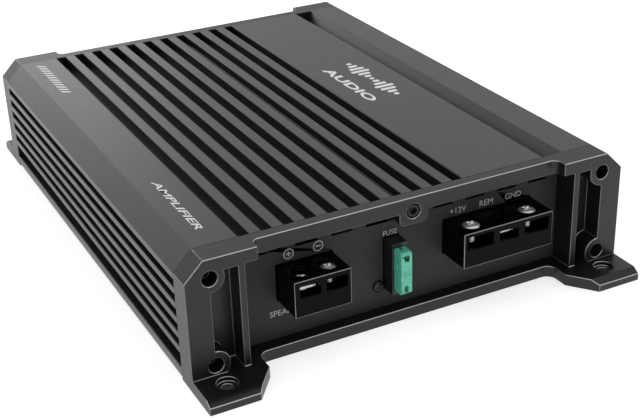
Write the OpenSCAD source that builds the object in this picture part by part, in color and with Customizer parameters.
// Car audio amplifier: a finned extrusion closed by two cast end caps with mounting feet.
// Front (-Y) carries the terminals and the blade fuse, rear (+Y) the inputs and controls.
// Origin: centre of the footprint, on the mounting surface. +X runs along the terminal face.

/* [Overall] */
// Width across the case
body_w = 200; // [190:0.5:250]
// Length over the posts of the two end caps, without the feet
body_l = 254.6; // [230:0.1:330]
// Height from the mounting surface to the top of the fins
body_h = 55.2; // [53:0.1:70]

/* [Heatsink extrusion] */
// Flat chamfer along both top edges
edge_chamfer = 8; // [4:0.5:10]
// Distance from one top fin to the next
top_pitch = 9.5; // [8:0.1:12]
// Width of each groove between the top fins
groove_w = 4.6; // [3:0.1:6]
// Depth of the grooves between the top fins
groove_d = 5.5; // [3:0.1:5.5]
// Flat strip between the case side and the first groove
left_strip = 27.1; // [22:0.1:32]
// Least width of the flat badge panel beside the grooves
badge_w = 39.8; // [20:0.1:45]
// Width of the long recess beside the badge panel
recess_w = 10; // [5:0.1:14]
// Depth of the long recess
recess_d = 5; // [2:0.1:5.5]
// Flat strip between the recess and the case side
right_strip = 23.5; // [20:0.1:30]
// Distance from one side fin to the next
side_pitch = 6.42; // [5:0.01:9]
// Thickness of a side fin
side_fin_t = 2.9; // [2:0.1:4]
// Height of a side fin, out from the wall
side_fin_d = 6; // [3:0.1:7]
// Thickness of the side wall behind the fins
wall_t = 3; // [2.5:0.1:4]
// Thickness of the roof under the grooves
roof_t = 3; // [2.5:0.1:4]
// Height of the extrusion's underside above the mounting surface
base_gap = 1.3; // [1.2:0.1:2]
// Height of the bottom flange along each side
flange_h = 4.3; // [3.5:0.1:6]

/* [End caps] */
// Depth of an end cap, from the post face to the extrusion
cap_d = 11; // [9:0.1:15]
// Setback of the middle rim behind the post face
rim_set = 5.9; // [3:0.1:7]
// Height of the middle rim
rim_h = 6.5; // [6:0.1:9]
// Height of the short arms beside the posts
arm_h = 5.5; // [5:0.1:6]
// Reach of the short arms past the posts
arm_reach = 5.3; // [3:0.1:8]
// Width of a corner post
post_w = 24.6; // [24:0.1:30]
// Wall between the post's pocket and the window
post_wall = 2.8; // [2:0.1:4]
// Depth of the pocket in a post
pocket_d = 9; // [3:0.1:9]
// Distance from the case side to the pocket and to the corner screws
screw_inset = 10.2; // [9.8:0.1:11]
// Height of the lower corner screws
screw_low = 9.5; // [9:0.1:10]
// Distance of the upper corner screws below the top
screw_drop = 8.2; // [8:0.1:9]
// Distance of the middle screw below the top
mid_screw_drop = 6.2; // [6.2:0.1:6.6]
// Radius of the boss round a corner screw, inside the pocket
boss_r = 6.1; // [5:0.1:6.5]

/* [Mounting feet] */
// Thickness of a foot
foot_t = 5.3; // [4:0.1:8]
// Length of a foot past the post face
foot_out = 16.6; // [14:0.1:25]
// Width of a foot at its tip
foot_tip = 20.9; // [18:0.1:26]
// Width of a foot where it meets the case
foot_root = 30; // [28:0.1:36]
// Length of the bevel at a foot's tip
foot_bevel = 3.3; // [1:0.1:4]
// Drop of the bevel at a foot's tip
foot_bevel_drop = 2.1; // [1:0.1:3]
// Radius of a mounting hole
mount_r = 2.4; // [2:0.05:3.2]
// Radius of the recess round a mounting hole
mount_recess_r = 4.2; // [3.5:0.05:5]
// Depth of the recess round a mounting hole
mount_recess_d = 2; // [1:0.1:3]
// Distance from the case side to a mounting hole
mount_inset = 11.4; // [10:0.1:14]
// Distance of a mounting hole in front of the post face
mount_out = 6.7; // [5.5:0.1:8]

/* [Screws] */
// Radius of the cap screws' shank
cap_screw_r = 1.6; // [1.5:0.05:1.7]
// Radius of the cap screws' head
cap_head_r = 2.8; // [2.5:0.05:2.9]
// Radius of the deep hole over a cap screw's head
cap_counterbore_r = 3.2; // [3:0.05:3.6]
// Length of the cap screws' shank
cap_screw_len = 16; // [12:1:20]
// Radius of the small screws' shank
small_screw_r = 1.45; // [1.2:0.05:1.45]
// Radius of the small screws' head
small_head_r = 2.6; // [2.4:0.05:3]

/* [Terminal blocks] */
// Distance that the blocks stand in front of the post face
block_proud = 4; // [2:0.1:8]
// Height of the underside of the blocks
block_z = 22.2; // [20:0.1:24]
// Height of the blocks
block_h = 15.5; // [15:0.1:18]
// Centre of the speaker block across the case
speaker_x = -45.45; // [-50:0.05:-40]
// Width of the speaker block
speaker_w = 24.5; // [24:0.1:28]
// Centre of the power block across the case
power_x = 40.2; // [36:0.1:44]
// Width of the power block
power_w = 43.4; // [43:0.1:48]
// Height of the contact bars' top above the underside of the block
entry_z = 8; // [7:0.1:9]
// Depth of a wire entry from the front of the block
entry_d = 14; // [12:0.1:18]
// Distance of the clamp screws behind the front of the block
clamp_back = 7.5; // [7:0.1:8]
// Thickness of a clamp plate
clamp_t = 1.1; // [0.8:0.05:1.3]
// Thickness of a contact bar
bar_t = 1.5; // [1:0.1:2]

/* [Fuse] */
// Thickness of the blade fuse's body
fuse_t = 5.1; // [4.8:0.1:5.5]
// Width of the blade fuse's body
fuse_w = 19.1; // [18:0.1:20]
// Depth of the blade fuse's body
fuse_d = 12; // [11:0.1:13]
// Centre of the fuse across the case
fuse_x = -6.3; // [-8:0.1:-4]
// Height of the fuse's centre
fuse_z = 25.4; // [25:0.1:28]
// Distance of the fuse's front in front of the post face
fuse_proud = 0.5; // [0:0.1:1]
// Distance of the fuse holder's face behind the post face
holder_set = 5; // [4:0.1:6]

/* [Controls] */
// Height of the inputs and controls
control_z = 26; // [25:0.5:28]
// Distance between neighbouring control knobs
knob_pitch = 16; // [12:0.5:18]
// Radius of a control knob
knob_r = 4.6; // [4:0.1:5.5]
// Centre of the two signal jacks, to the right as seen from behind
jack_x = 52; // [46:1:56]
// Distance between the two signal jacks
jack_pitch = 16; // [13:0.5:18]
// Radius of a signal jack's metal shell
jack_r = 4.15; // [4:0.05:4.3]
// Centre of the remote control socket, to the left as seen from behind
remote_x = 58; // [54:1:62]

/* [Circuit board] */
// Thickness of the main board
board_t = 1.6; // [1.2:0.1:2]
// Height of the main board's standoffs
standoff_h = 8.2; // [7:0.1:9]
// Outer radius of the transformer
transformer_r = 27; // [20:0.5:27]
// Height of the transformer
transformer_h = 25; // [18:0.5:30]
// Radius of a rail capacitor
rail_cap_r = 11; // [8:0.5:12.5]
// Height of a rail capacitor
rail_cap_h = 30; // [20:0.5:30]
// Radius of an input capacitor
input_cap_r = 8; // [6:0.5:8.5]
// Height of an input capacitor
input_cap_h = 27; // [15:0.5:30]
// Distance from one power transistor to the next
transistor_pitch = 14; // [12.5:0.5:16]

/* [Hidden] */
$fn = 64;
cut = 1;               // overshoot of a cutting shape past the face that it opens
fit = 0.3;             // gap between pieces that drop into each other
shank_gap = 0.05;      // radial gap round a screw's shank
slide_gap = 0.2;       // gap round a piece that travels in a pocket
half_w = body_w / 2;
half_l = body_l / 2;
sink_half = half_l - cap_d;
base_z = base_gap;
plate_t = base_gap + 0.2;                      // sheet of the bottom plate
ledge_z = base_z + plate_t;
flange_z = base_z + flange_h;
roof_z = body_h - groove_d - roof_t;
cavity_half = half_w - side_fin_d - wall_t;
ledge_half = cavity_half - 7;
lip_z = body_h - edge_chamfer - side_fin_t;
side_gap = side_pitch - side_fin_t;
foot_gap = 6;                                  // least gap under the lowest side fin
side_fins = floor((lip_z - flange_z - foot_gap) / side_pitch);
field_w = body_w - left_strip - badge_w - recess_w - right_strip;
grooves = floor((field_w - groove_w) / top_pitch + 1.001);
groove_x0 = -half_w + left_strip;
rib_w = top_pitch - groove_w;
// the middle screw sits under the fin that is nearest the centre line
mid_rib = round((0 - groove_x0 + rib_w / 2) / top_pitch);
mid_screw_x = groove_x0 + mid_rib * top_pitch - rib_w / 2;
recess_x1 = half_w - right_strip;
window_half = half_w - post_w;
window_top = body_h - rim_h;
upper_z = body_h - screw_drop;
mid_z = body_h - mid_screw_drop;
corner_x = half_w - screw_inset;
core_boss_r = cap_screw_r + 1.9;               // screw channel of the extrusion
counterbore_d = 8;                             // depth of a corner screw's deep hole
mid_counterbore_d = rim_set + 2.6;
cap_lip = 1;                                   // lip of a cap that enters the extrusion
panel_y = cap_d + cap_lip;                     // front of a panel, behind the post face
panel_t = 2;
panel_back = panel_y + panel_t;
board_z = ledge_z + standoff_h;
board_top = board_z + board_t;
board_half_w = cavity_half - 9;
board_half_l = half_l - panel_back - 0.5;
block_top = block_z + block_h;
block_back = panel_back + 12;
bar_top = block_z + entry_z;
vent_pitch = 15.65;
vent_shift = 2.7;
vent_w = 9.5;
vent_h = 1;
vent_drop = 10.6;
holder_w = fuse_t + 1.9;
holder_h = fuse_w + 4.2;
blade_t = 0.65;
blade_w = 5.2;
blade_len = 7;
blade_offset = 6.95;
fuse_back = fuse_d - fuse_proud;
ear_x = fuse_x - holder_w / 2 - small_head_r - 0.1;  // panel screw beside the fuse holder
ear_z = 15.6;
mount_y = half_l + mount_out;
mount_x = half_w - mount_inset;
knob_depth = 4.6;
shaft_r = 3;
shaft_gap = 0.1;
pot_w = 9.8;
lever_w = 3;
lever_travel = 2;
switch_x = -2.5 * knob_pitch - 1;
jack_bore_r = 1.7;
jack_proud = 9;
led_r = 1.5;
led_x = 70.5;
// one row a pole: centre, entry width, entry height, head radius, shank radius, drop at rest
SPEAKER_POLES = [[-50.9, 8.9, 5.3, 3.6, 1.95, 2.2], [-39.4, 9.1, 5.4, 3.6, 1.95, 0.7]];
POWER_POLES = [[26.4, 12.4, 5.8, 3.9, 1.95, 0], [40.4, 9.2, 4.6, 2.9, 1.45, 1.6], [54, 12, 5.6, 3.9, 1.95, 0]];
POLES = concat(SPEAKER_POLES, POWER_POLES);
MID_X = 0;
WIDTH = 1;
HEIGHT = 2;
HEAD = 3;
SHANK = 4;
DROP = 5;
head_t = 2.3;
clamp_depth = 8;
roof_gap = 0.2;                                // gap over a clamp plate at the top of its travel
STANDOFFS = [for (x = [-1, 1], y = [-1, 0, 1]) [x * (board_half_w - 6), y * (board_half_l - 13)]];
BOTTOM_SCREWS = [for (x = [-1, 1], y = [-3, -1, 1, 3]) [x * (ledge_half + 3.5), y * (sink_half - 8) / 3]];

// ---- helpers ----

// box from its low corner to its high corner
module box(low, high) {
  translate(low)
    cube(high - low);
}

// extrudes an XZ outline from y0 to y1
module along_y(y0, y1) {
  translate([0, y1, 0])
    rotate([90, 0, 0])
      linear_extrude(y1 - y0)
        children();
}

// round bar along Y
module rod_y(r, y0, y1) {
  translate([0, y0, 0])
    rotate([-90, 0, 0])
      cylinder(r = r, h = y1 - y0);
}

// extrudes an outline in Y and Z from x0 to x1
module along_x(x0, x1) {
  translate([x0, 0, 0])
    rotate([90, 0, 90])
      linear_extrude(x1 - x0)
        children();
}

// local frame of an end: y = 0 at the post face, y grows into the case
module at_front() {
  translate([0, -half_l, 0])
    children();
}

module at_rear() {
  rotate([0, 0, 180])
    at_front()
      children();
}

module both_sides() {
  children();
  mirror([1, 0, 0])
    children();
}

// places children at the corner screws and, if mid is given, at the middle one
module at_corner_screws() {
  for (x = [-corner_x, corner_x], z = [screw_low, upper_z])
    translate([x, 0, z])
      children();
}

module at_mid_screw() {
  translate([mid_screw_x, 0, mid_z])
    children();
}

// cross recess of a screw head, whose top is at z = 0
module cross_recess(size) {
  for (a = [0, 90])
    rotate([0, 0, a])
      box([-size / 2, -0.45, -1.2], [size / 2, 0.45, cut]);
}

// pan-head screw pointing down, with the underside of its head at z = 0
module pan_screw(shank_r, head_r, head_h, len) {
  difference() {
    union() {
      cylinder(r = head_r, h = head_h);
      translate([0, 0, -len])
        cylinder(r = shank_r, h = len);
    }
    translate([0, 0, head_h])
      cross_recess(head_r * 1.15);
  }
}

// ---- case ----

module case_outline(low) {
  polygon([[-half_w, low], [half_w, low], [half_w, body_h - edge_chamfer],
    [half_w - edge_chamfer, body_h], [edge_chamfer - half_w, body_h],
    [-half_w, body_h - edge_chamfer]]);
}

// circles of the extrusion's screw channels
module channel_outlines(r) {
  for (x = [-corner_x, corner_x], z = [screw_low, upper_z])
    translate([x, z])
      circle(r = r);
  translate([mid_screw_x, mid_z])
    circle(r = r);
}

// free space inside the extrusion, drawn in by gap
module cavity_outline(gap) {
  difference() {
    union() {
      translate([gap - cavity_half, flange_z + gap])
        square([2 * (cavity_half - gap), roof_z - flange_z - 2 * gap]);
      translate([gap - ledge_half, ledge_z + gap])
        square([2 * (ledge_half - gap), roof_z - ledge_z - 2 * gap]);
    }
    channel_outlines(core_boss_r + gap);
  }
}

module groove_outlines() {
  for (i = [0 : grooves - 1])
    translate([groove_x0 + i * top_pitch, body_h - groove_d])
      square([groove_w, groove_d + cut]);
}

// long recess: upright on the badge side, sloping up to the right strip
module recess_outline() {
  x0 = recess_x1 - recess_w;
  polygon([[x0, body_h + cut], [x0, body_h - recess_d], [recess_x1 - recess_w / 3, body_h - recess_d],
    [recess_x1, body_h], [recess_x1, body_h + cut]]);
}

module side_gap_outlines() {
  difference() {
    translate([half_w - side_fin_d, flange_z])
      square([side_fin_d + cut, lip_z - flange_z]);
    for (i = [0 : side_fins - 1])
      translate([half_w - side_fin_d - cut, lip_z - side_gap - side_fin_t - i * side_pitch])
        square([side_fin_d + 3 * cut, side_fin_t]);
  }
}

module plate_rebate_outline() {
  translate([3 - half_w, base_z - cut])
    square([body_w - 6, plate_t + cut]);
}

module heatsink() color("#3a3b3c") {
  difference() {
    along_y(-sink_half, sink_half)
      difference() {
        case_outline(base_z);
        cavity_outline(0);
        plate_rebate_outline();
        translate([-ledge_half, base_z])
          square([2 * ledge_half, plate_t + cut]);
        groove_outlines();
        recess_outline();
        side_gap_outlines();
        mirror([1, 0])
          side_gap_outlines();
      }
    at_corner_screws()
      rod_y(cap_screw_r + shank_gap, -sink_half - cut, sink_half + cut);
    at_mid_screw()
      rod_y(cap_screw_r + shank_gap, -sink_half - cut, sink_half + cut);
    for (p = BOTTOM_SCREWS)
      translate([p[0], p[1], 0])
        cylinder(r = small_screw_r + shank_gap, h = flange_z + cut);
    clamp_bar_holes();
  }
}

module window_outline() {
  translate([-window_half, foot_t])
    square([2 * window_half, window_top - foot_t]);
}

// pocket of the post on the +X side, round the two screw bosses
module pocket_outline() {
  pocket_w = post_w - screw_inset - post_wall;
  difference() {
    translate([corner_x - pocket_w, foot_t])
      square([pocket_w, body_h - arm_h - 0.4 - foot_t]);
    for (z = [screw_low, upper_z])
      translate([corner_x, z])
        circle(r = boss_r);
  }
}

// rounded boss that hangs from the rim round the middle screw
module mid_boss_outline() {
  r = 2.5;
  w = 13;
  low = mid_z - 5.7;
  for (x = [mid_screw_x - w / 2 + r, mid_screw_x + w / 2 - r])
    translate([x, low + r])
      circle(r = r);
  translate([mid_screw_x - w / 2, low + r])
    square([w, body_h - edge_chamfer - low]);
  translate([mid_screw_x - w / 2 + r, low])
    square([w - 2 * r, r]);
}

// concave corner between two faces of the cap, on the -X side of the corner point
module inner_fillet(r) {
  difference() {
    translate([-r, -r])
      square([r + 0.01, r + 0.01]);
    translate([-r, -r])
      circle(r = r);
  }
}

module foot_outline() {
  x0 = half_w;
  polygon([[x0, cap_d], [x0, -foot_out], [x0 - foot_tip, -foot_out], [x0 - foot_root, -rim_set * 0.8],
    [x0 - foot_root, cap_d]]);
  translate([x0 - foot_root, rim_set])
    inner_fillet(4.2);
}

module foot() {
  difference() {
    linear_extrude(foot_t)
      foot_outline();
    along_x(half_w - foot_root - cut, half_w + cut)
      polygon([[foot_bevel - foot_out, foot_t], [foot_bevel - foot_out, foot_t + cut],
        [-foot_out - cut, foot_t + cut], [-foot_out - cut, foot_t - foot_bevel_drop],
        [-foot_out, foot_t - foot_bevel_drop]]);
    translate([mount_x, -mount_out, -cut])
      cylinder(r = mount_r, h = foot_t + 2 * cut);
    translate([mount_x, -mount_out, foot_t - mount_recess_d])
      cylinder(r = mount_recess_r, h = mount_recess_d + cut);
  }
}

module end_cap() {
  difference() {
    union() {
      along_y(rim_set, cap_d)
        difference() {
          case_outline(0);
          window_outline();
        }
      along_y(rim_set, cap_d)
        intersection() {
          mid_boss_outline();
          translate([-half_w, 0])
            square([body_w, body_h]);
        }
      along_y(0, rim_set)
        intersection() {
          case_outline(0);
          union()
            both_sides_outline() {
              translate([window_half, foot_t])
                square([post_w, body_h]);
              translate([window_half - arm_reach, body_h - arm_h])
                square([post_w, arm_h]);
            }
        }
      both_sides()
        translate([window_half - arm_reach, rim_set, body_h - arm_h])
          linear_extrude(arm_h)
            inner_fillet(3);
      both_sides()
        foot();
      along_y(cap_d, cap_d + cap_lip)
        difference() {
          cavity_outline(fit);
          window_outline();
          translate([-half_w, 0])
            square([body_w, foot_t - 2]);
        }
    }
    both_sides()
      along_y(-cut, pocket_d)
        pocket_outline();
    at_corner_screws() {
      rod_y(cap_counterbore_r, -cut, counterbore_d);
      rod_y(cap_screw_r + shank_gap, 0, cap_d + cut);
    }
    at_mid_screw() {
      rod_y(cap_counterbore_r, 0, mid_counterbore_d);
      rod_y(cap_screw_r + shank_gap, 0, cap_d + cut);
    }
  }
}

module both_sides_outline() {
  children();
  mirror([1, 0])
    children();
}

module front_cap() color("#3d3e3f")
  at_front()
    end_cap();

module rear_cap() color("#3d3e3f")
  at_rear()
    mirror([1, 0, 0])
      end_cap();

module cap_screw() {
  difference() {
    union() {
      rod_y(cap_head_r, -2.4, 0);
      rod_y(cap_screw_r, -0.1, cap_screw_len);
    }
    along_y(-2.4 - cut, -0.8)
      circle(r = 1.5, $fn = 6);
  }
}

module cap_screws() {
  at_corner_screws()
    translate([0, counterbore_d, 0])
      cap_screw();
  at_mid_screw()
    translate([0, mid_counterbore_d, 0])
      cap_screw();
}

module front_cap_screws() color("#1c1c1d")
  at_front()
    cap_screws();

module rear_cap_screws() color("#1c1c1d")
  at_rear()
    mirror([1, 0, 0])
      cap_screws();

module panel_plate() {
  along_y(panel_y, panel_back)
    difference() {
      cavity_outline(fit);
      translate([-half_w, 0])
        square([body_w, foot_t - 2]);
      for (i = [-4 : 4])
        translate([vent_shift + i * vent_pitch - vent_w / 2, body_h - vent_drop - vent_h / 2])
          square([vent_w, vent_h]);
    }
}

module terminal_panel() color("#2e2f30")
  at_front()
    difference() {
      panel_plate();
      for (b = [[speaker_x, speaker_w], [power_x, power_w]])
        box([b[0] - b[1] / 2 - fit, 0, block_z - fit], [b[0] + b[1] / 2 + fit, block_back, block_top + fit]);
      box([fuse_x - holder_w / 2 - fit, 0, fuse_z - holder_h / 2 - fit],
        [fuse_x + holder_w / 2 + fit, block_back, fuse_z + holder_h / 2 + fit]);
      translate([ear_x, 0, ear_z])
        rod_y(small_screw_r + shank_gap, 0, block_back);
    }

module panel_screw() color("#161616")
  at_front()
    translate([ear_x, panel_y, ear_z])
      rotate([90, 0, 0])
        pan_screw(small_screw_r, small_head_r, 1.6, 9);

module bottom_plate() color("#4a4b4d")
  difference() {
    box([fit + 3 - half_w, fit - sink_half, base_z], [half_w - 3 - fit, sink_half - fit, ledge_z]);
    for (p = BOTTOM_SCREWS)
      translate([p[0], p[1], 0])
        cylinder(r = small_screw_r + shank_gap, h = flange_z);
  }

module bottom_screws() color("#c4c6c8")
  for (p = BOTTOM_SCREWS)
    translate([p[0], p[1], base_z])
      mirror([0, 0, 1])
        pan_screw(small_screw_r, small_head_r, base_gap - 0.2, flange_h - 0.2);

// ---- terminals ----

// top of a pole's wire entry
function entry_top(p) = bar_top + p[HEIGHT];
// top of a pole's clamp plate at rest
function clamp_top(p) = entry_top(p) - roof_gap - p[DROP];
function clamp_w(p) = min(8.4, p[WIDTH] - 0.8);

clamp_y = clamp_back - block_proud;
bar_y0 = 1.5 - block_proud;
bar_leg_y = panel_back + 6;
tip_room = 5.2;                                // free depth under a contact bar

module contact_bar(p) {
  w = p[WIDTH] - 1;
  difference() {
    union() {
      box([p[MID_X] - w / 2, bar_y0, bar_top - bar_t], [p[MID_X] + w / 2, bar_leg_y, bar_top]);
      box([p[MID_X] - w / 2, bar_leg_y - bar_t, board_top], [p[MID_X] + w / 2, bar_leg_y, bar_top]);
    }
    translate([p[MID_X], clamp_y, bar_top - bar_t - cut])
      cylinder(r = p[SHANK] + 0.08, h = bar_t + 2 * cut);
  }
}

module terminal_block(x, w, poles) {
  difference() {
    union() {
      box([x - w / 2, -block_proud, block_z], [x + w / 2, block_back, block_top]);
      box([x - w / 2, panel_back + fit, board_top], [x + w / 2, block_back, block_z + cut]);
    }
    for (p = poles) {
      box([p[MID_X] - p[WIDTH] / 2, -block_proud - cut, bar_top],
        [p[MID_X] + p[WIDTH] / 2, entry_d - block_proud, entry_top(p)]);
      translate([p[MID_X], clamp_y, entry_top(p) - cut])
        cylinder(r = p[HEAD] + 0.4, h = block_top);
      translate([p[MID_X], clamp_y, bar_top - bar_t - tip_room])
        cylinder(r = p[SHANK] + 0.6, h = tip_room + cut);
      box([p[MID_X] - p[WIDTH] / 2 + 0.5, bar_y0, bar_top - bar_t],
        [p[MID_X] + p[WIDTH] / 2 - 0.5, bar_leg_y, bar_top + 0.01]);
      box([p[MID_X] - p[WIDTH] / 2 + 0.5, bar_leg_y - bar_t, board_top - cut],
        [p[MID_X] + p[WIDTH] / 2 - 0.5, bar_leg_y, bar_top]);
    }
  }
}

module speaker_block() color("#151515")
  at_front()
    terminal_block(speaker_x, speaker_w, SPEAKER_POLES);

module power_block() color("#151515")
  at_front()
    terminal_block(power_x, power_w, POWER_POLES);

module speaker_contacts() color("#c9a45a")
  at_front()
    for (p = SPEAKER_POLES)
      contact_bar(p);

module power_contacts() color("#c9a45a")
  at_front()
    for (p = POWER_POLES)
      contact_bar(p);

module clamp_plate(p) color("#cfd2d4") {
  top = clamp_top(p);
  at_front()
    translate([p[MID_X], clamp_y, 0])
      difference() {
        box([-clamp_w(p) / 2, -clamp_depth / 2, top - clamp_t], [clamp_w(p) / 2, clamp_depth / 2, top]);
        translate([0, 0, top - clamp_t - cut])
          cylinder(r = p[SHANK] + 0.08, h = clamp_t + 2 * cut);
      }
}

module clamp_screw(p) color("#d9dcde")
  at_front()
    translate([p[MID_X], clamp_y, clamp_top(p)])
      pan_screw(p[SHANK], p[HEAD], head_t, clamp_top(p) - bar_top + bar_t + p[DROP] + 0.5);

module speaker_plus_clamp() clamp_plate(SPEAKER_POLES[0]);
module speaker_minus_clamp() clamp_plate(SPEAKER_POLES[1]);
module battery_clamp() clamp_plate(POWER_POLES[0]);
module remote_clamp() clamp_plate(POWER_POLES[1]);
module ground_clamp() clamp_plate(POWER_POLES[2]);
module speaker_plus_screw() clamp_screw(SPEAKER_POLES[0]);
module speaker_minus_screw() clamp_screw(SPEAKER_POLES[1]);
module battery_screw() clamp_screw(POWER_POLES[0]);
module remote_screw() clamp_screw(POWER_POLES[1]);
module ground_screw() clamp_screw(POWER_POLES[2]);

// ---- fuse ----

blade_slot_d = fuse_back + blade_len + 1;

module at_blades() {
  for (s = [-1, 1])
    translate([fuse_x, 0, fuse_z + s * blade_offset])
      children();
}

module fuse_holder() color("#1a1a1b")
  at_front()
    difference() {
      union() {
        box([fuse_x - holder_w / 2, holder_set, fuse_z - holder_h / 2],
          [fuse_x + holder_w / 2, block_back, fuse_z + holder_h / 2]);
        box([fuse_x - holder_w / 2, panel_back + fit, board_top],
          [fuse_x + holder_w / 2, block_back, fuse_z]);
        box([ear_x - 3.5, panel_back, board_top], [fuse_x, panel_back + 10, ear_z + 3.5]);
      }
      box([fuse_x - fuse_t / 2 - slide_gap, 0, fuse_z - fuse_w / 2 - slide_gap],
        [fuse_x + fuse_t / 2 + slide_gap, fuse_back + slide_gap, fuse_z + fuse_w / 2 + slide_gap]);
      at_blades()
        box([-1.2, 0, -blade_w / 2 - 0.4], [1.2, blade_slot_d, blade_w / 2 + 0.4]);
      contact_tail(1, 0.01);
      contact_tail(-1, 0.01);
      translate([ear_x, 0, ear_z])
        rod_y(small_screw_r + shank_gap, 0, panel_back + 8);
    }

// spring leaf on each side of a blade, and a tail down to the board
module fuse_contacts() color("#d2b06a")
  at_front() {
    at_blades()
      both_sides()
        box([blade_t / 2 + 0.1, fuse_back + 1, -blade_w / 2], [1.2, blade_slot_d, blade_w / 2]);
    at_blades()
      box([-1.2, blade_slot_d - 0.7, -blade_w / 2], [1.2, blade_slot_d, blade_w / 2]);
    contact_tail(1, 0);
    contact_tail(-1, 0);
  }

// tail of the upper (1) or lower (-1) contact; the upper one runs down behind the lower one
module contact_tail(side, gap) {
  y = blade_slot_d + (side + 1) * 1.1;
  z = fuse_z + side * blade_offset;
  box([fuse_x - 0.8, y - 0.7 - gap, board_top - gap], [fuse_x + 0.8, y + gap, z]);
  box([fuse_x - 0.8, blade_slot_d - 0.1, z - 1], [fuse_x + 0.8, y + gap, z]);
}

module fuse_body() color("#4fc3a1")
  at_front()
    translate([fuse_x, -fuse_proud, fuse_z])
      difference() {
        along_x(-fuse_t / 2, fuse_t / 2)
          polygon([[0, 1 - fuse_w / 2], [0, fuse_w / 2 - 1], [1, fuse_w / 2],
            [fuse_d, fuse_w / 2], [fuse_d, -fuse_w / 2], [1, -fuse_w / 2]]);
        for (s = [-1, 1]) {
          box([-blade_t / 2, 3, s * blade_offset - blade_w / 2],
            [blade_t / 2, fuse_d + cut, s * blade_offset + blade_w / 2]);
          box([-0.8, -cut, s * blade_offset - 1.3], [0.8, 3, s * blade_offset + 1.3]);
        }
      }

module fuse_blades() color("#c3c7ca")
  at_front()
    at_blades()
      box([-blade_t / 2, 3 - fuse_proud, -blade_w / 2], [blade_t / 2, fuse_back + blade_len, blade_w / 2]);

// ---- circuit board and what stands on it ----

module main_board() color("#1f5a3a")
  difference() {
    box([-board_half_w, -board_half_l, board_z], [board_half_w, board_half_l, board_top]);
    for (p = STANDOFFS)
      translate([p[0], p[1], board_z - cut])
        cylinder(r = small_screw_r + shank_gap, h = board_t + 2 * cut);
  }

module board_standoffs() color("#c8a85c")
  for (p = STANDOFFS)
    translate([p[0], p[1], ledge_z])
      difference() {
        cylinder(r = 3, h = standoff_h, $fn = 6);
        translate([0, 0, 1.5])
          cylinder(r = small_screw_r + shank_gap, h = standoff_h);
      }

module board_screws() color("#c4c6c8")
  for (p = STANDOFFS)
    translate([p[0], p[1], board_top])
      pan_screw(small_screw_r, small_head_r, 1.8, board_t + standoff_h - 2.5);

// flat ring core; the winding covers it in two stretches
module ring_core(r_out, r_in, z0, z1) {
  translate([0, 0, z0])
    difference() {
      cylinder(r = r_out - varnish_t, h = z1 - z0);
      translate([0, 0, -cut])
        cylinder(r = r_in + varnish_t, h = z1 - z0 + 2 * cut);
    }
}

module ring_winding(r_out, r_in, z0, z1, wire, spans) {
  for (s = spans)
    rotate([0, 0, s[0]])
      rotate_extrude(angle = s[1])
        difference() {
          translate([r_in - wire, z0 - wire])
            square([r_out - r_in + 2 * wire, z1 - z0 + 2 * wire]);
          translate([r_in, z0])
            square([r_out - r_in, z1 - z0]);
        }
}

varnish_t = 0.2;                               // gap between a core's round faces and its winding
transformer_at = [34, -36, board_top];
transformer_wire = 3;
inductor_at = [-46, -70, board_top];
inductor_r = 17;
inductor_h = 15;
choke_at = [-6, -76, board_top];
choke_r = 12;

module transformer_core() color("#2c2d30")
  translate(transformer_at)
    ring_core(transformer_r - transformer_wire, 10, transformer_wire, transformer_h - transformer_wire);

module transformer_winding() color("#a8642c")
  translate(transformer_at)
    ring_winding(transformer_r - transformer_wire, 10, transformer_wire,
      transformer_h - transformer_wire, transformer_wire, [[10, 160], [190, 160]]);

module output_inductor_core() color("#c7b23a")
  translate(inductor_at)
    ring_core(inductor_r - 2, 7, 2, inductor_h - 2);

module output_inductor_winding() color("#b06a30")
  translate(inductor_at)
    ring_winding(inductor_r - 2, 7, 2, inductor_h - 2, 2, [[20, 320]]);

module input_choke() color("#3f6b48")
  translate(choke_at)
    ring_core(choke_r, 5, 0, 10);

module rail_capacitors() color("#2b3550")
  for (x = [21, 49], y = [18, 46])
    translate([x, y, board_top])
      cylinder(r = rail_cap_r, h = rail_cap_h);

module input_capacitors() color("#2b3550")
  for (x = [22, 42, 62])
    translate([x, -86, board_top])
      cylinder(r = input_cap_r, h = input_cap_h);

pad_t = 0.4;
transistor_t = 4.5;
transistor_w = 10;
transistor_z = 17;
transistor_h = 16;
transistor_x = cavity_half - pad_t;            // the tab's face, against the pad
supply_y = [for (i = [0 : 7]) -74 + i * transistor_pitch];
output_y = [for (i = [0 : 5]) -46 + i * transistor_pitch];
bar_z = transistor_z + 4;
clamp_bar_h = 7;
clamp_bar_t = 2.5;

// transistor on the +X wall: body, and three legs that step inward to the board
module transistor() {
  box([transistor_x - transistor_t, -transistor_w / 2, transistor_z],
    [transistor_x, transistor_w / 2, transistor_z + transistor_h]);
  for (y = [-2.54, 0, 2.54]) {
    box([transistor_x - 2.6, y - 0.5, transistor_z - 2], [transistor_x - 2, y + 0.5, transistor_z]);
    box([board_half_w - 3, y - 0.5, transistor_z - 2.6], [transistor_x - 2, y + 0.5, transistor_z - 2]);
    box([board_half_w - 3, y - 0.5, board_top], [board_half_w - 2.4, y + 0.5, transistor_z - 2.6]);
  }
}

module supply_transistors() color("#1b1b1c")
  for (y = supply_y)
    translate([0, y, 0])
      transistor();

module output_transistors() color("#1b1b1c")
  mirror([1, 0, 0])
    for (y = output_y)
      translate([0, y, 0])
        transistor();

// first and last transistor of a row, and the ends of what spans it
function row_low(ys) = ys[0] - transistor_w / 2 - 2;
function row_high(ys) = ys[len(ys) - 1] + transistor_w / 2 + 2;
// screws of a clamp bar sit between neighbouring transistors
function gap_ys(ys) = [for (i = [0 : 2 : len(ys) - 2]) (ys[i] + ys[i + 1]) / 2];

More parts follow.
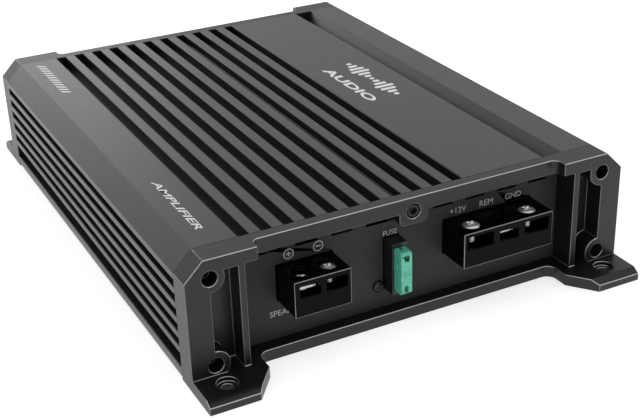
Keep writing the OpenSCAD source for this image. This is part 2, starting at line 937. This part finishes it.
// holes of a row's clamp screws, from x0 to x1
module clamp_holes(ys, x0, x1) {
  for (y = gap_ys(ys))
    translate([x0, y, bar_z + clamp_bar_h / 2])
      rotate([0, 90, 0])
        cylinder(r = small_screw_r + shank_gap, h = x1 - x0);
}

module transistor_pad(ys) {
  difference() {
    box([transistor_x, row_low(ys), transistor_z - 1],
      [cavity_half, row_high(ys), transistor_z + transistor_h + 1]);
    clamp_holes(ys, transistor_x - cut, cavity_half + cut);
  }
}

module transistor_pads() color("#a9b4b8") {
  transistor_pad(supply_y);
  mirror([1, 0, 0])
    transistor_pad(output_y);
}

module clamp_bar(ys) {
  x1 = transistor_x - transistor_t;
  difference() {
    box([x1 - clamp_bar_t, row_low(ys), bar_z], [x1, row_high(ys), bar_z + clamp_bar_h]);
    clamp_holes(ys, x1 - clamp_bar_t - cut, x1 + cut);
  }
}

module clamp_bars() color("#b9bcc0") {
  clamp_bar(supply_y);
  mirror([1, 0, 0])
    clamp_bar(output_y);
}

clamp_screw_len = clamp_bar_t + transistor_t + pad_t + wall_t - 0.6;

module clamp_bar_screws_row(ys) {
  for (y = gap_ys(ys))
    translate([transistor_x - transistor_t - clamp_bar_t, y, bar_z + clamp_bar_h / 2])
      rotate([0, -90, 0])
        pan_screw(small_screw_r, small_head_r, 1.8, clamp_screw_len);
}

module clamp_bar_screws() color("#c4c6c8") {
  clamp_bar_screws_row(supply_y);
  mirror([1, 0, 0])
    clamp_bar_screws_row(output_y);
}

// tapped holes in the two side walls, blind from the inside
module clamp_bar_holes() {
  clamp_holes(supply_y, cavity_half - cut, cavity_half + wall_t - 0.4);
  mirror([1, 0, 0])
    clamp_holes(output_y, cavity_half - cut, cavity_half + wall_t - 0.4);
}

driver_x = -16;
driver_y = [-38, 32];
driver_h = 24;

module driver_board() color("#1f5a3a") {
  box([driver_x, driver_y[0], board_top + 2.5], [driver_x + board_t, driver_y[1], board_top + driver_h]);
  for (y = [driver_y[0] + 6 : 5 : driver_y[1] - 6])
    box([driver_x + 0.5, y - 0.4, board_top], [driver_x + 1.1, y + 0.4, board_top + 2.6]);
}

module driver_chips() color("#1b1b1c")
  for (i = [0 : 3]) {
    y = driver_y[0] + 12 + 15 * i;
    box([driver_x - 2.2, y - 4, board_top + 9], [driver_x, y + 4, board_top + 18]);
  }

module signal_chips() color("#1b1b1c")
  for (x = [-44, -22, 0, 22, 44])
    box([x - 3, 80, board_top], [x + 3, 90, board_top + 3.2]);

// ---- rear panel and controls; x grows to the right as seen from behind ----

KNOBS_X = [for (i = [1.5, 0.5, -0.5, -1.5]) i * knob_pitch];
jack_xs = [jack_x - jack_pitch / 2, jack_x + jack_pitch / 2];
remote_w = 13;
remote_h = 12.5;
remote_proud = 3;

module control_panel() color("#2e2f30")
  at_rear()
    difference() {
      mirror([1, 0, 0])
        panel_plate();
      for (x = KNOBS_X)
        translate([x, 0, control_z])
          rod_y(shaft_r + 1.2, 0, block_back);
      for (x = jack_xs)
        translate([x, 0, control_z])
          rod_y(jack_r + fit, 0, block_back);
      box([switch_x - lever_w / 2 - lever_travel - fit, 0, control_z - lever_w / 2 - fit],
        [switch_x + lever_w / 2 + lever_travel + fit, block_back, control_z + lever_w / 2 + fit]);
      box([-remote_x - remote_w / 2 - fit, 0, control_z - remote_h / 2 - fit],
        [-remote_x + remote_w / 2 + fit, block_back, control_z + remote_h / 2 + fit]);
      for (z = [-4, 4])
        translate([-led_x, 0, control_z + z])
          rod_y(led_r + fit, 0, block_back);
    }

module jack_housing() color("#1a1a1b")
  at_rear()
    difference() {
      box([jack_xs[0] - 8, panel_back, board_top], [jack_xs[1] + 8, block_back, control_z + 8]);
      for (x = jack_xs)
        translate([x, 0, control_z])
          rod_y(jack_r - 0.2, 0, panel_back + 6);
    }

module jack_shells() color("#d8dadc")
  at_rear()
    for (x = jack_xs)
      translate([x, 0, control_z])
        difference() {
          union() {
            rod_y(jack_r, panel_y - jack_proud, panel_y);
            rod_y(jack_r - 0.25, panel_y - 0.1, panel_back + 6);
          }
          rod_y(jack_r - 0.8, 0, panel_back + 4);
        }

module jack_inserts() color("#e8e8e6")
  at_rear()
    for (x = jack_xs)
      translate([x, 0, control_z])
        difference() {
          rod_y(jack_r - 0.8, panel_y - jack_proud + 0.6, panel_back + 4);
          rod_y(jack_bore_r, 0, panel_back + 2);
        }

module remote_socket() color("#1a1a1b")
  at_rear()
    translate([-remote_x, 0, 0])
      difference() {
        union() {
          box([-remote_w / 2, panel_y - remote_proud, control_z - remote_h / 2],
            [remote_w / 2, block_back, control_z + remote_h / 2]);
          box([-remote_w / 2, panel_back + fit, board_top], [remote_w / 2, block_back, control_z]);
        }
        box([-4.9, 0, control_z - 3.4], [4.9, block_back - 3, control_z + 3.4]);
        box([-3.2, 0, control_z - 4.8], [3.2, block_back - 5, control_z]);
      }

module control_pots() color("#2b4a6e")
  at_rear()
    for (x = KNOBS_X)
      translate([x, 0, 0])
        difference() {
          union() {
            box([-pot_w / 2, panel_back + 1, board_top], [pot_w / 2, panel_back + 8, control_z + 5]);
            translate([0, 0, control_z])
              rod_y(shaft_r + 0.8, panel_y + 0.2, panel_back + 1.5);
          }
          translate([0, 0, control_z])
            rod_y(shaft_r + shaft_gap, 0, panel_back + 6.5);
        }

// knob with a driver slot across its face, and its shaft
module control_knob(i) color("#222223")
  at_rear()
    translate([KNOBS_X[i], 0, control_z])
      difference() {
        union() {
          rod_y(knob_r, panel_y - 0.4 - knob_depth, panel_y - 0.4);
          rod_y(shaft_r, panel_y - 0.6, panel_back + 6);
        }
        box([-0.6, panel_y - 0.4 - knob_depth - cut, -knob_r * 0.8],
          [0.6, panel_y - 0.4 - knob_depth + 1.2, knob_r * 0.8]);
      }

module level_knob() control_knob(0);
module lowpass_knob() control_knob(1);
module subsonic_knob() control_knob(2);
module bass_knob() control_knob(3);

module phase_switch() color("#b8bbbe")
  at_rear()
    difference() {
      box([switch_x - 6, panel_back, board_top], [switch_x + 6, panel_back + 7, control_z + 4]);
      box([switch_x - lever_w / 2 - lever_travel - fit, 0, control_z - lever_w / 2 - fit],
        [switch_x + lever_w / 2 + lever_travel + fit, panel_back + 3, control_z + lever_w / 2 + fit]);
    }

module phase_lever() color("#222223")
  at_rear()
    translate([switch_x + lever_travel, 0, control_z])
      box([-lever_w / 2, panel_y - 2.5, -lever_w / 2], [lever_w / 2, panel_back + 3, lever_w / 2]);

module status_lights() color("#7fd9ff")
  at_rear()
    for (z = [-4, 4])
      translate([-led_x, 0, 0]) {
        translate([0, 0, control_z + z])
          rod_y(led_r, panel_y - 1, panel_back + 5 + z / 2);
        box([-0.8, panel_back + 3.5 + z / 2, board_top], [0.8, panel_back + 5 + z / 2, control_z + z]);
      }

heatsink();
front_cap();
rear_cap();
terminal_panel();
control_panel();
bottom_plate();
front_cap_screws();
rear_cap_screws();
bottom_screws();
panel_screw();
speaker_block();
power_block();
speaker_contacts();
power_contacts();
speaker_plus_clamp();
speaker_minus_clamp();
battery_clamp();
remote_clamp();
ground_clamp();
speaker_plus_screw();
speaker_minus_screw();
battery_screw();
remote_screw();
ground_screw();
fuse_holder();
fuse_contacts();
fuse_body();
fuse_blades();
main_board();
board_standoffs();
board_screws();
transformer_core();
transformer_winding();
output_inductor_core();
output_inductor_winding();
input_choke();
rail_capacitors();
input_capacitors();
supply_transistors();
output_transistors();
transistor_pads();
clamp_bars();
clamp_bar_screws();
driver_board();
driver_chips();
signal_chips();
jack_housing();
jack_shells();
jack_inserts();
remote_socket();
control_pots();
level_knob();
lowpass_knob();
subsonic_knob();
bass_knob();
phase_switch();
phase_lever();
status_lights();
